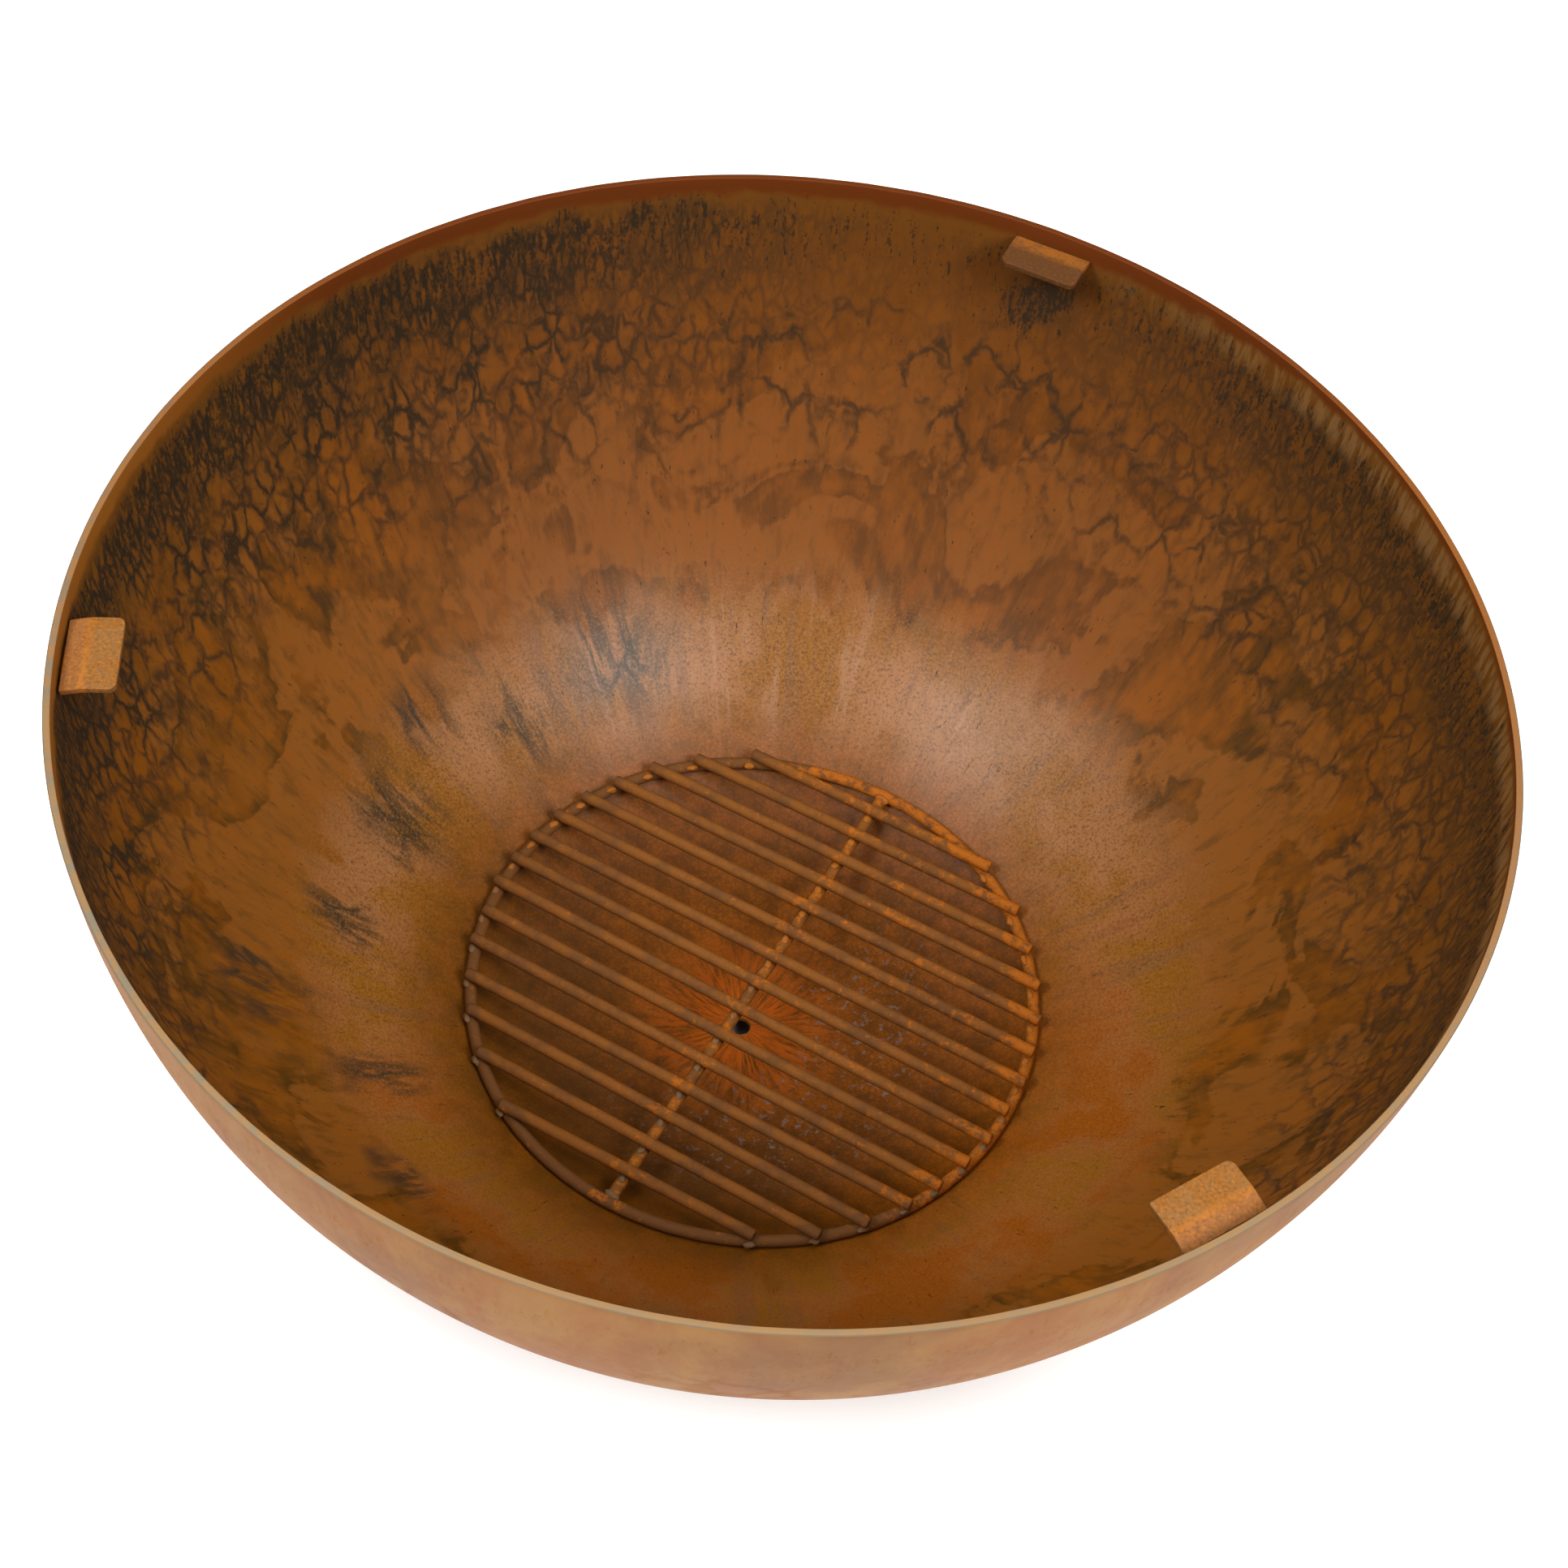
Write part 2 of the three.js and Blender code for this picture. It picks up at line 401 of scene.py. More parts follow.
# the lower wall
LOW_TAN = rgb(156, 104, 60)
LOW_GOLD = rgb(142, 88, 20)
LOW_BROWN = rgb(124, 84, 54)
# pale streaks at the back of the lower wall: partly paler oxide, partly a painted highlight
LOW_PALE_SHEEN = rgb(180, 138, 110)
LOW_ORANGE = rgb(146, 75, 0)
LOW_STAIN = rgb(58, 45, 28)

# the floor of the bowl
FLOOR_RUST = rgb(142, 74, 0)
FLOOR_DARK = rgb(108, 58, 0)
FLOOR_ORANGE = rgb(190, 88, 0)
FLOOR_OLIVE = rgb(72, 46, 10)
FLOOR_SPECK = rgb(122, 110, 100)

# the outside
OUTSIDE_TAN = rgb(147, 98, 34)
OUTSIDE_ORANGE = rgb(138, 79, 12)
OUTSIDE_BROWN = rgb(104, 62, 22)

# stains on the lower wall: direction, depth, half width and half length
STAIN_PLACES = (
    (119, 330, 80, 64),
    (137, 352, 60, 52),
    (150, 300, 50, 40),
    (164, 336, 66, 60),
    (184, 322, 40, 44),
    (200, 250, 60, 50),
    (209, 338, 38, 54),
    (227, 300, 46, 32),
)


def upper_wall(shader, wall):
    """Brown patina with orange washes, and smooth paler islands with dark feathered shores."""
    mottle = shader.noise(wall.stretched(0.5), 38.0, 4.0, 0.6)
    colour = shader.mix(shader.rise(mottle, 0.35, 0.65), GOLD_BROWN, WARM_BROWN)

    flow = shader.noise(wall.stretched(0.3), 16.0, 4.0, 0.6, 0.4)
    wash = shader.times(shader.rise(flow, 0.40, 0.60), wall.between(110, 330, 50, 50))
    colour = shader.mix(shader.times(wash, 0.8), colour, ORANGE_WASH)

    drips = shader.noise(wall.stretched(0.09), 70.0, 4.0, 0.65)
    patchy = shader.noise(wall.stretched(0.7), 20.0, 4.0, 0.6)
    runs = shader.times(wall.between(140, 300, 40, 40), shader.rise(patchy, 0.46, 0.60))
    colour = shader.mix(shader.times(shader.rise(drips, 0.47, 0.62), runs, 0.75), colour, OLIVE_EDGE)

    feather = shader.noise(wall.stretched(0.14), 150.0, 3.0, 0.6)
    feather = shader.times(shader.minus(feather, 0.5), 0.08)
    place = shader.wobble(wall.stretched(1.2), 40.0, 0.003)
    islands = shader.add(shader.noise(place, 8.5, 4.0, 0.5, 0.7), feather)
    zone = wall.between(115, 325, 30, 45)
    shore = shader.times(shader.rise(islands, 0.385, 0.485), shader.rise(islands, 0.52, 0.485))
    shore = shader.times(shore, zone, shader.add(0.25, shader.rise(patchy, 0.36, 0.60)))
    colour = shader.mix(shader.times(shore, 0.72), colour, OLIVE_EDGE)
    inside = shader.times(shader.rise(islands, 0.48, 0.515), zone)
    colour = shader.mix(shader.times(inside, 0.66), colour, ISLAND)

    clouds = shader.noise(wall.stretched(0.4), 85.0, 5.0, 0.65)
    colour = shader.mix(shader.times(shader.rise(clouds, 0.5, 0.66), 0.4), colour, OLIVE_EDGE)
    return shader.mix(shader.times(shader.rise(clouds, 0.49, 0.36), 0.4), colour, ORANGE_WASH)


def net_layer(shader, wall, cells, stretch, line, wander):
    """Soft dark lines round cells: cells per metre, longer down the wall as stretch falls."""
    place = shader.wobble(wall.stretched(stretch), cells * 1.1, wander / cells)
    place = shader.wobble(place, cells * 4.0, 0.07 / cells)
    edge = shader.rise(shader.cell_edge(place, cells), line, 0.0)
    return shader.times(edge, edge)


def crackle(shader, wall):
    """Nets of dark lines: fine, long cells under the edge band, growing rounder with depth."""
    patchy = shader.noise(wall.unrolled, 24.0, 4.0, 0.6)
    worn = shader.noise(wall.stretched(0.6), 70.0, 3.0, 0.6)
    fine = net_layer(shader, wall, 165.0, 0.36, 0.42, 0.16)
    fine = shader.times(fine, wall.between(20, 88, 9, 26), shader.add(0.25, wall.sides))
    fine = shader.times(fine, shader.rise(worn, 0.3, 0.55))
    middle = net_layer(shader, wall, 76.0, 0.6, 0.32, 0.2)
    middle = shader.times(middle, wall.between(45, 160, 20, 40), shader.add(0.3, wall.sides))
    middle = shader.times(middle, shader.rise(patchy, 0.66, 0.44), 0.95)
    coarse = net_layer(shader, wall, 40.0, 0.8, 0.22, 0.22)
    coarse = shader.times(coarse, wall.between(75, 205, 30, 40), shader.rise(patchy, 0.36, 0.56))
    coarse = shader.times(coarse, shader.rise(worn, 0.26, 0.56))
    return shader.most(shader.most(fine, middle), coarse)


def streaks(shader, wall):
    """Charcoal from just under the edge band, densest at the sides and below the first tab:
    the strength of its short dashes, and of the soft charcoal wash behind them, with a
    painted shadow round the first tab in it."""
    dash = shader.noise(wall.stretched(0.22), 300.0, 3.0, 0.65)
    speckle = shader.noise(wall.stretched(0.7), 480.0, 2.0, 0.6)
    columns = shader.noise(wall.stretched(0.2), 30.0, 4.0, 0.6)
    fringe = shader.times(shader.minus(columns, 0.5), 70 * MM)
    depth = shader.add(wall.depth, fringe)
    zone = shader.times(shader.rise(depth, 8 * MM, 26 * MM), shader.rise(depth, 95 * MM, 26 * MM))
    strength = shader.add(0.42, shader.times(wall.sides, 0.58))
    drips = wall.spot(TAB_ANGLES[0], 50, 40, 48)
    reach = shader.most(shader.times(zone, strength), shader.times(drips, 1.15))
    fill = shader.add(shader.times(dash, 0.6), shader.times(speckle, 0.4))
    threshold = shader.minus(0.63, shader.times(reach, 0.15))
    smudge_and_tab_shadow = shader.times(shader.rise(columns, 0.38, 0.62), zone, wall.sides)
    # painted shadow: a soft dark patch round and under the first tab, joined to the smudges
    smudge_and_tab_shadow = shader.most(smudge_and_tab_shadow, wall.spot(TAB_ANGLES[0], 38, 44, 46))
    return shader.rise(shader.minus(fill, threshold), -0.04, 0.07), smudge_and_tab_shadow


def lower_wall(shader, wall, colour):
    """Lighter satin patches of tan, gold and brown, orange at the front, with dark stains, and pale
    streaks at the back that are partly paler oxide and partly a painted highlight.
    """
    zone = wall.between(295, 480, 40, 40)
    shift = shader.noise(shader.place, 13.0, 4.0, 0.6)
    brushed = shader.noise(wall.stretched(0.12), 55.0, 5.0, 0.65)
    low = shader.mix(shader.rise(shift, 0.42, 0.58), LOW_TAN, LOW_GOLD)
    low = shader.mix(shader.times(shader.rise(brushed, 0.5, 0.64), 0.55), low, LOW_BROWN)
    # pale streaks at the back, where the lamps reflect: partly paler oxide, partly a painted highlight
    pale_sheen = shader.times(shader.rise(brushed, 0.46, 0.34), wall.facing(BACK + 8, 62), 0.3)
    low = shader.mix(pale_sheen, low, LOW_PALE_SHEEN)
    front = shader.times(wall.facing(FRONT + 15, 125), shader.rise(shift, 0.60, 0.40), 0.95)
    low = shader.mix(front, low, LOW_ORANGE)
    cover = shader.noise(wall.stretched(0.5), 22.0, 4.0, 0.6)
    cover = shader.rise(shader.add(cover, shader.times(zone, 0.35)), 0.55, 0.68)
    colour = shader.mix(shader.times(zone, cover), colour, low)

    flow = shader.noise(wall.stretched(0.2), 75.0, 4.0, 0.65)
    stains = 0.0
    for degrees, depth, half_width, half_length in STAIN_PLACES:
        stains = shader.most(stains, wall.spot(degrees, depth, half_width, half_length))
    branches = net_layer(shader, wall, 19.0, 0.6, 0.2, 0.3)
    wash = shader.times(stains, shader.rise(flow, 0.44, 0.58), 0.75)
    branches = shader.times(branches, stains, shader.rise(flow, 0.28, 0.44))
    colour = shader.mix(shader.most(wash, shader.times(branches, 0.95)), colour, LOW_STAIN)

    grain = shader.noise(shader.place, 560.0, 3.0, 0.75)
    smooth_front = shader.times(wall.facing(FRONT + 15, 110), 0.55)
    grainy = shader.times(zone, 0.9, shader.invert(smooth_front))
    dark_grain = shader.times(shader.rise(grain, 0.51, 0.63), grainy, 0.65)
    light_grain = shader.times(shader.rise(grain, 0.47, 0.37), grainy, 0.5)
    colour = shader.mix(dark_grain, colour, LOW_STAIN)
    return shader.mix(light_grain, colour, CUT_TAN)


def floor_patina(shader, colour):
    """Orange rust round the drain, with fine streaks pointing at it, grains and grey specks."""
    front_left = (-0.7, -0.7, 0.0)
    front_right = (0.8, -0.6, 0.0)
    from_drain = shader.vector("SUBTRACT", shader.place, (DRAIN_OFFSET, 0.0, bowl_low.z))
    flat = shader.vector("MULTIPLY", from_drain, (1.0, 1.0, 0.0))
    reach = shader.vector("LENGTH", flat)
    outward = shader.vector("NORMALIZE", flat)
    zone = shader.rise(reach, 240 * MM, 165 * MM)

    rust = shader.noise(shader.place, 60.0, 5.0, 0.7)
    ground = shader.mix(shader.rise(rust, 0.35, 0.65), FLOOR_RUST, FLOOR_DARK)
    colour = shader.mix(zone, colour, ground)
    grains = shader.cell_edge(shader.wobble(shader.place, 260.0, 0.0012), 300.0)
    outlines = shader.times(shader.rise(grains, 0.2, 0.03), zone, 0.4)
    colour = shader.mix(outlines, colour, FLOOR_OLIVE)
    shade = shader.rise(shader.vector("DOT_PRODUCT", outward, front_left), -0.3, 0.9)
    shade = shader.times(shade, shader.rise(reach, 40 * MM, 130 * MM), zone)
    colour = shader.mix(shader.times(shade, 0.5), colour, FLOOR_OLIVE)

    ox, oy, _ = shader.split(outward)
    rays = shader.join(shader.times(ox, 0.06), shader.times(oy, 0.06), shader.times(reach, 0.22))
    hair = shader.noise(rays, 300.0, 4.0, 0.7)
    near = shader.rise(reach, 88 * MM, 8 * MM)
    bright = shader.times(shader.rise(hair, 0.38, 0.6), near)
    colour = shader.mix(bright, colour, FLOOR_ORANGE)

    speck = shader.noise(shader.place, 190.0, 3.0, 0.7)
    ring = shader.times(shader.rise(reach, 30 * MM, 60 * MM), shader.rise(reach, 150 * MM, 100 * MM))
    side = shader.rise(shader.vector("DOT_PRODUCT", outward, front_right), -0.6, 0.9)
    speck = shader.times(shader.rise(speck, 0.56, 0.66), ring, side)
    return shader.mix(shader.times(speck, 0.7), colour, FLOOR_SPECK)


def charcoal_marks(shader, wall, colour):
    """The colour with smudges, a painted shadow round the first tab, nets and dashes over it,
    and the strength of the sharper marks.
    """
    net = crackle(shader, wall)
    dashes, smudge_and_tab_shadow = streaks(shader, wall)
    # charcoal smudges, and the painted shadow round the first tab
    colour = shader.mix(shader.times(smudge_and_tab_shadow, 0.42), colour, CHARCOAL)
    colour = shader.mix(shader.times(net, 0.78), colour, CHARCOAL)
    colour = shader.mix(shader.times(dashes, 0.86), colour, CHARCOAL)
    return colour, shader.most(net, dashes)


def edge_band(shader, wall, colour):
    """A plain brown band under the edge, golden at the left, over a tan fringe at the right."""
    combed = shader.noise(wall.stretched(0.15), 210.0, 3.0, 0.6)
    combed = shader.rise(combed, 0.40, 0.58)
    fringe = shader.times(wall.between(5, 24, 3, 8), wall.facing(RIGHT + 6, 66), combed)
    colour = shader.mix(shader.times(fringe, 0.7), colour, FRINGE_TAN)
    waver = shader.times(shader.minus(shader.noise(wall.unrolled, 50.0, 3.0), 0.5), 14 * MM)
    waver = shader.add(waver, shader.times(wall.facing(RIGHT, 62), 8 * MM))
    band = shader.rise(shader.add(wall.depth, waver), 15 * MM, 8 * MM)
    edge = shader.mix(wall.facing(LEFT + 18, 60), EDGE_BAND, EDGE_GOLD)
    return shader.mix(shader.times(band, 0.95), colour, edge)


def outside_patina(shader, wall):
    """Soft tan and orange runs with brown blotches, browner low down."""
    soft = shader.noise(wall.stretched(0.4), 16.0, 5.0, 0.65, 0.4)
    blotch = shader.noise(shader.place, 8.0, 5.0, 0.6)
    colour = shader.mix(shader.rise(soft, 0.38, 0.64), OUTSIDE_TAN, OUTSIDE_ORANGE)
    colour = shader.mix(shader.times(shader.rise(blotch, 0.46, 0.66), 0.5), colour, OUTSIDE_BROWN)
    low_down = shader.times(shader.rise(wall.depth, 130 * MM, 420 * MM), 0.45)
    return shader.mix(low_down, colour, OUTSIDE_BROWN)


def cut_patina_and_painted_shade(shader, wall):
    """The level cut face of the edge: tan and grey at the front and left, orange on the way
    round, brown at the back, with a grey line along the outer corner. The fall from tan at the
    front to brown at the back is painted light and shade."""
    mottle = shader.noise(shader.place, 90.0, 4.0, 0.7)
    grey = shader.add(0.35, shader.times(wall.facing(LEFT + 5, 70), 0.65))
    colour = shader.mix(shader.times(shader.rise(mottle, 0.44, 0.60), grey), CUT_TAN, CUT_GREY)
    # painted light and shade: tan where the cut faces the front, through orange, to brown at the back
    colour = shader.mix(shader.invert(wall.facing(FRONT - 8, 130)), colour, CUT_ORANGE)
    colour = shader.mix(wall.facing(BACK, 70), colour, EDGE_BAND)
    outer_line = shader.rise(wall.radius, SPHERE_OUT - 0.9 * MM, SPHERE_OUT - 0.4 * MM)
    return shader.mix(outer_line, colour, CUT_LINE)


def bowl_height(shader, marks):
    """Fine grain on low lumps, a little lower where the charcoal marks are."""
    grain = shader.noise(shader.place, 900.0, 3.0, 0.6)
    lumps = shader.noise(shader.place, 120.0, 3.0, 0.5)
    height = shader.add(shader.times(grain, 0.5), lumps)
    return shader.minus(height, shader.times(marks, 0.6))


def bowl_roughness(shader, wall, marks):
    """Satin on the lower wall, duller at the charcoal marks and matt on the floor."""
    polish = wall.between(290, 440, 60, 60)
    roughness = shader.minus(0.66, shader.times(polish, 0.28))
    roughness = shader.add(roughness, shader.times(marks, 0.2))
    at_floor = shader.rise(wall.depth, 440 * MM, 520 * MM)
    return shader.mix_number(at_floor, roughness, 0.92)


def bowl_material():
    shader = Shader("bowl_patina", specular=0.3)
    wall = Wall(shader)

    colour = upper_wall(shader, wall)
    upper_dark = shader.rise(wall.depth, 150 * MM, 20 * MM)
    colour = shader.mix(shader.times(upper_dark, 0.8), colour, STREAK_ZONE)
    back = shader.times(wall.facing(BACK, 66), wall.between(20, 290, 30, 50))
    colour = shader.mix(shader.times(back, 0.34), colour, BACK_BROWN)
    colour = lower_wall(shader, wall, colour)
    colour = floor_patina(shader, colour)
    colour, marks = charcoal_marks(shader, wall, colour)
    colour = edge_band(shader, wall, colour)

    is_outside = shader.rise(wall.radius, SPHERE_IN + 1 * MM, SPHERE_IN + 1.2 * MM)
    colour = shader.mix(is_outside, colour, outside_patina(shader, wall))
    _, _, z = shader.split(shader.place)
    is_cut = shader.rise(z, RIM_Z - 0.6 * MM, RIM_Z - 0.35 * MM)
    # the cut face, with painted light at the front and painted shade at the back
    colour = shader.mix(is_cut, colour, cut_patina_and_painted_shade(shader, wall))

    roughness = bowl_roughness(shader, wall, marks)
    height = bowl_height(shader, marks)
    return shader.finish(colour, roughness, height, 0.12 * MM, 0.5)


# -------------------- other materials

BASE_MAIN = rgb(138, 84, 34)
BASE_DARK = rgb(104, 62, 28)
BASE_BRIGHT = rgb(158, 92, 26)

WELD_MAIN = rgb(160, 86, 10)
WELD_DARK = rgb(104, 58, 18)
WELD_BRIGHT = rgb(196, 110, 8)


def rust_material(name, dark, main, bright, patch_scale, bright_share):
    """Rusted bar or weld metal: main colour, darker patches and brighter rust bloom."""
    shader = Shader(name)
    patches = shader.noise(shader.place, patch_scale, 4.0, 0.65)
    bloom = shader.noise(shader.place, patch_scale * 2.2, 4.0, 0.7, 0.3)
    grit = shader.noise(shader.place, 1100.0, 2.0, 0.6)
    colour = shader.mix(shader.rise(patches, 0.42, 0.62), main, dark)
    low = 0.66 - 0.2 * bright_share
    colour = shader.mix(shader.rise(bloom, low, low + 0.1), colour, bright)
    colour = shader.mix(shader.times(shader.rise(grit, 0.55, 0.75), 0.4), colour, dark)
    height = shader.add(shader.noise(shader.place, 260.0, 4.0, 0.6), shader.times(grit, 0.4))
    roughness = shader.add(0.6, shader.times(patches, 0.2))
    return shader.finish(colour, roughness, height, 0.25 * MM, 0.7)


TAB_TAN = rgb(144, 98, 48)
TAB_OCHRE = rgb(146, 90, 28)
TAB_PALE = rgb(152, 94, 48)
TAB_BRIGHT = rgb(188, 112, 32)
TAB_BROWN = rgb(96, 58, 26)
TAB_DARK = rgb(100, 62, 32)
TAB_SHADE = rgb(70, 36, 12)


def tab_material():
    """Tan bar with a bright line where the bend starts, partly rust and partly a painted
    highlight, and a paler slope beyond it. The first tab is browner and darker, and bright rust
    covers its slope."""
    shader = Shader("tab_rust", specular=0.3)
    out = 0.0
    for degrees in TAB_ANGLES:
        out = shader.most(out, shader.vector("DOT_PRODUCT", shader.place, heading(degrees)))
    first = shader.vector("DOT_PRODUCT", shader.place, heading(TAB_ANGLES[0]))
    first = shader.rise(first, 200 * MM, 300 * MM)

    patches = shader.noise(shader.place, 110.0, 5.0, 0.7)
    fine = shader.noise(shader.place, 520.0, 4.0, 0.7)
    colour = shader.mix(shader.rise(patches, 0.38, 0.62), TAB_TAN, TAB_OCHRE)
    colour = shader.mix(shader.times(first, 0.85), colour, TAB_BROWN)
    ragged = shader.add(out, shader.times(shader.minus(patches, 0.5), 7 * MM))
    from_knee = shader.minus(ragged, TAB_KNEE)
    # the bright line along the start of the bend: partly rust, partly a painted highlight
    line = shader.rise(shader.math("ABSOLUTE", from_knee), 3.6 * MM, 0.2 * MM)
    slope = shader.rise(out, TAB_KNEE + 0.5 * MM, TAB_KNEE + 3 * MM)
    rusty = shader.times(shader.rise(from_knee, -2.5 * MM, 1.5 * MM), first)
    colour = shader.mix(shader.times(slope, 0.6), colour, TAB_PALE)
    broken = shader.add(0.35, shader.times(shader.rise(patches, 0.62, 0.42), 0.65))
    # bright rust on the first tab's slope, with the painted highlight along the bend
    bright = shader.times(shader.most(shader.times(line, 0.6), shader.times(rusty, 0.9)), broken)
    colour = shader.mix(bright, colour, TAB_BRIGHT)
    colour = shader.mix(shader.times(shader.rise(fine, 0.50, 0.66), 0.55), colour, TAB_DARK)
    speckle = shader.minus(0.6, shader.times(first, 0.35))
    speckle = shader.times(shader.rise(fine, 0.48, 0.36), speckle)
    colour = shader.mix(speckle, colour, TAB_BRIGHT)
    colour = shader.mix(shader.times(first, 0.32), colour, TAB_SHADE)
    height = shader.add(shader.noise(shader.place, 300.0, 4.0, 0.6), shader.times(fine, 0.8))
    roughness = shader.add(0.62, shader.times(patches, 0.2))
    return shader.finish(colour, roughness, height, 0.2 * MM, 0.6)


GRATE_MAIN = rgb(126, 74, 20)
GRATE_DARK = rgb(92, 58, 28)
GRATE_ORANGE = rgb(172, 92, 4)
TACK_ORANGE = rgb(156, 88, 14)
TACK_GREY = rgb(108, 80, 50)


def grate_material():
    """Scaly brown bar, with fresh orange rust near the ring on the right and at the crossings."""
    shader = Shader("grate_rust", specular=0.25)
    patches = shader.noise(shader.place, 45.0, 4.0, 0.65)
    bloom = shader.noise(shader.place, 150.0, 4.0, 0.7)
    grit = shader.noise(shader.place, 800.0, 3.0, 0.65)
    flat = shader.vector("MULTIPLY", shader.place, (1.0, 1.0, 0.0))
    x, y, _ = shader.split(flat)
    at_ring = shader.rise(shader.vector("LENGTH", flat), 150 * MM, 176 * MM)
    at_right = shader.rise(shader.add(x, shader.times(y, 0.3)), 10 * MM, 110 * MM)
    from_bar = shader.math("ABSOLUTE", shader.vector("DOT_PRODUCT", shader.place, tuple(ALONG)))
    crossing = shader.rise(from_bar, 20 * MM, 5 * MM)
    fresh = shader.most(shader.times(at_ring, at_right), shader.times(crossing, 0.45))
    fresh = shader.most(fresh, shader.times(at_right, 0.3))
    on_ring = shader.rise(shader.vector("LENGTH", flat), 176 * MM, 179 * MM)
    dark = shader.most(shader.times(shader.rise(patches, 0.42, 0.66), 0.7), shader.times(on_ring, 0.7))
    colour = shader.mix(dark, GRATE_MAIN, GRATE_DARK)
    threshold = shader.minus(0.64, shader.times(fresh, 0.26))
    share = shader.rise(shader.minus(bloom, threshold), -0.05, 0.14)
    colour = shader.mix(shader.times(share, 0.9), colour, GRATE_ORANGE)
    colour = shader.mix(shader.times(shader.rise(grit, 0.52, 0.68), 0.55), colour, GRATE_DARK)
    height = shader.add(shader.noise(shader.place, 260.0, 4.0, 0.6), shader.times(grit, 0.7))
    roughness = shader.add(0.68, shader.times(patches, 0.2))
    return shader.finish(colour, roughness, height, 0.35 * MM, 0.8)


def tack_material():
    """Weld tacks of the grate: orange at the back, fading to grey-brown towards the front."""
    shader = Shader("tack_rust", specular=0.3)
    back = shader.vector("DOT_PRODUCT", shader.place, tuple(ACROSS))
    patches = shader.noise(shader.place, 170.0, 4.0, 0.65)
    ragged = shader.add(back, shader.times(shader.minus(patches, 0.5), 240 * MM))
    colour = shader.mix(shader.rise(ragged, -70 * MM, 40 * MM), TACK_GREY, TACK_ORANGE)
    grit = shader.noise(shader.place, 900.0, 2.0, 0.6)
    colour = shader.mix(shader.times(shader.rise(grit, 0.52, 0.7), 0.5), colour, GRATE_MAIN)
    height = shader.add(shader.noise(shader.place, 260.0, 4.0, 0.6), shader.times(grit, 0.4))
    return shader.finish(colour, 0.66, height, 0.25 * MM, 0.7)


def floor_material():
    """White, with a little glow of its own except under the bowl, where it stays dark."""
    shader = Shader("studio_floor", specular=0.1)
    reach = shader.vector("LENGTH", shader.place)
    glow = shader.times(shader.rise(reach, 0.22, 0.36), 0.66)
    shader.feed(shader.surface.inputs["Base Color"], (0.93, 0.93, 0.93, 1.0))
    shader.feed(shader.surface.inputs["Roughness"], 0.9)
    shader.feed(shader.surface.inputs["Emission Color"], (1.0, 1.0, 1.0, 1.0))
    shader.feed(shader.surface.inputs["Emission Strength"], glow)
    return shader.material


# -------------------- bowl

def sphere_line(sphere, start, end):
    """Section (radius, height) of a sphere between two angles from its lowest point, stopping
    short of the softened edge."""
    steps = 96
    points = []
    for i in range(steps + 1):
        polar = start + (end - start) * i / steps
        point = (sphere * math.sin(polar), SPHERE_Z - sphere * math.cos(polar))
        if point[1] < RIM_Z - RIM_SOFT:
            points.append(point)
    return points


def bowl_profile():
    """Closed section (radius from the axis, height): inside up, over the edge, outside down."""
    profile = sphere_line(SPHERE_IN, math.asin(DRAIN_RADIUS / SPHERE_IN), RIM_POLAR)
    inner = math.sqrt(SPHERE_IN ** 2 - (SPHERE_Z - RIM_Z) ** 2)
    for centre, start in ((inner + RIM_SOFT, 180), (RIM_RADIUS - RIM_SOFT, 90)):
        for i in range(5):
            angle = math.radians(start - 90 * i / 4)
            radius = centre + RIM_SOFT * math.cos(angle)
            profile.append((radius, RIM_Z - RIM_SOFT + RIM_SOFT * math.sin(angle)))
    top = math.acos((SPHERE_Z - RIM_Z) / SPHERE_OUT)
    profile += sphere_line(SPHERE_OUT, top, math.asin(DRAIN_RADIUS / SPHERE_OUT))
    low, high = profile[-1][1], profile[0][1]
    profile.append((DRAIN_RADIUS - 0.2 * MM, low + 0.3 * MM))
    profile.append((DRAIN_RADIUS - 0.2 * MM, high - 0.3 * MM))
    return np.array(profile)


def make_bowl(material):
    """The section turned round the axis, its lowest part leaned over to the drain's own place,
    and its edge ground a little unevenly."""
    lean_from, lean_fade = 14, 12
    profile = bowl_profile()
    cos, sin = circle(320)
    radius, height = profile[:, 0, None], profile[:, 1, None]
    x, y = radius * cos, radius * sin
    z = np.broadcast_to(height, x.shape) - SPHERE_Z
    polar = np.degrees(np.arctan2(radius, SPHERE_Z - height))
    share = np.clip((lean_from - polar) / lean_fade, 0, 1)
    share = share * share * (3 - 2 * share)
    lean = share * math.asin(-DRAIN_OFFSET / SPHERE_IN)
    leant_x = x * np.cos(lean) + z * np.sin(lean)
    leant_z = z * np.cos(lean) - x * np.sin(lean)
    rows = np.stack([leant_x, y, leant_z + SPHERE_Z], axis=-1)
    at_edge = np.clip((rows[..., 2] - RIM_Z + 2 * MM) / (2 * MM), 0, 1)
    rows[..., 2] -= at_edge * RIM_DIP * (0.5 + 0.5 * np.clip(ripple(rows, 30 * MM, 3), -1, 1))
    part = skin(rows, looped=True)
    make_piece("bowl", [part], material, "bowl", ["bowl_shell"])


# -------------------- base ring and weld

def make_base_band(material):
    inside, outside = BASE_RADIUS - BASE_BAR + BASE_EDGE, BASE_RADIUS - BASE_EDGE
    low, high = BASE_EDGE, BASE_HEIGHT - BASE_EDGE
    corners = ((inside, low, 180), (outside, low, 270), (outside, high, 0), (inside, high, 90))
    section = rounded(corners, BASE_EDGE)
    cos, sin = circle(288)
    rows = [[(r * c, r * s, z) for r, z in section] for c, s in zip(cos, sin)]
    band = skin(rows, looped=True)
    make_piece("base_band", [band], material, "bowl", ["base_ring"])


